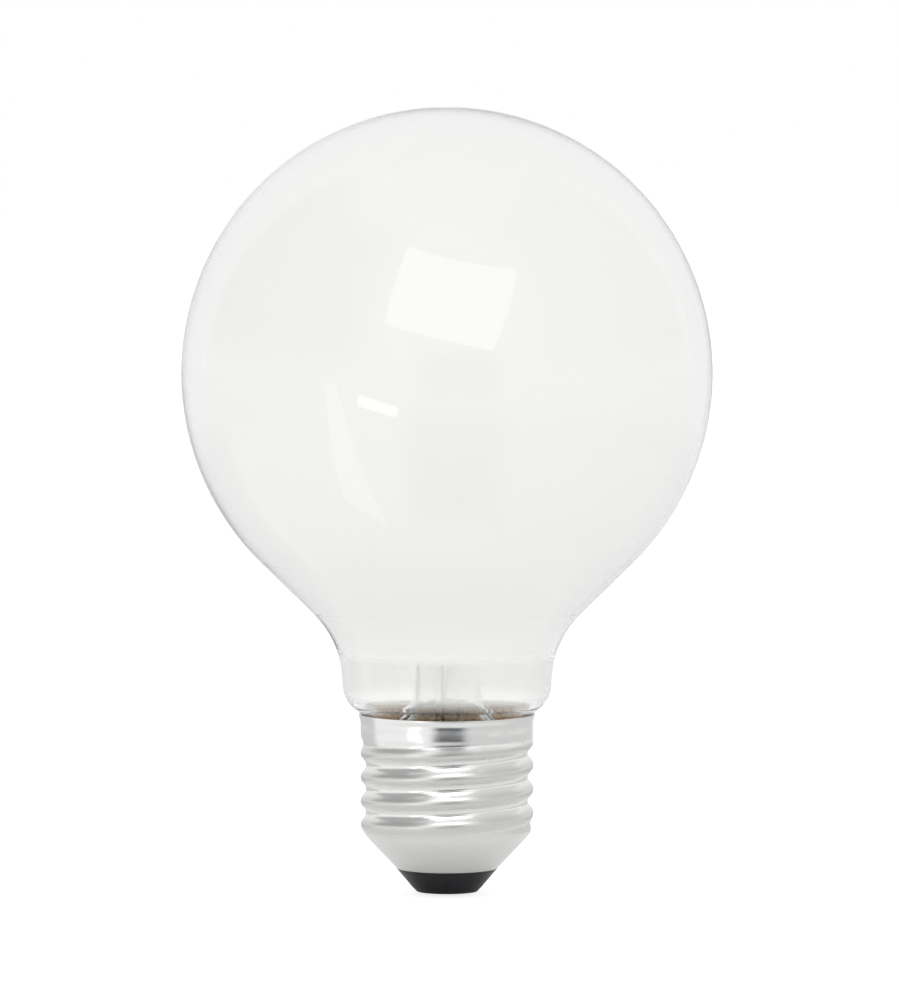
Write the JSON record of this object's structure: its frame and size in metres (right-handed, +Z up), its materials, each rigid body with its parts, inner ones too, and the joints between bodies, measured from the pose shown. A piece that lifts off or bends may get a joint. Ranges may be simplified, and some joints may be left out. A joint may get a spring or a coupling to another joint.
{
  "type": "globe bulb",
  "caption": "White opal globe lamp with a clear glass neck, a glass mount inside and a rolled-thread aluminium screw cap.",
  "frame": {"origin": "on the lamp's axis at the tip of the contact solder, its lowest point", "axes": "+Z up the axis from the screw cap to the crown of the globe; -Y towards the viewer of the picture, +Y towards the solder bead on the cap's rim"},
  "size_m": [0.08, 0.08, 0.1187],
  "materials": {
    "clear_glass": "clear blown soda-lime glass, glossy",
    "white_coat": "matt white silica powder seen through glossy glass",
    "mount_glass": "clear lead glass, fire polished",
    "copper_clad_wire": "dull copper-clad wire",
    "nickel_wire": "drawn nickel wire",
    "tungsten": "dark grey coiled tungsten",
    "cap_aluminium": "bright drawn and thread-rolled sheet",
    "black_glass": "black cast glass with a dull shine",
    "contact_brass": "plain brass disc",
    "solder": "dull soft solder",
    "brown_cement": "baked resin cement with marble filler, grainy"
  },
  "bodies": {
    "root": {"globe_glass": "clear_glass", "opal_coating": "white_coat", "stem_flare": "mount_glass", "exhaust_tube": "mount_glass", "glass_cane": "mount_glass", "seal_wire_front": "copper_clad_wire", "seal_wire_back": "copper_clad_wire", "inner_lead_front": "nickel_wire", "inner_lead_back": "nickel_wire", "outer_lead_centre": "copper_clad_wire", "outer_lead_side": "copper_clad_wire", "filament": "tungsten", "support_wire_1": "nickel_wire", "support_wire_2": "nickel_wire", "support_wire_3": "nickel_wire", "support_wire_4": "nickel_wire", "support_wire_5": "nickel_wire", "cap_shell": "cap_aluminium", "cap_insulator": "black_glass", "centre_contact": "contact_brass", "contact_solder": "solder", "rim_solder": "solder", "basing_cement": "brown_cement"}
  },
  "joints": []
}
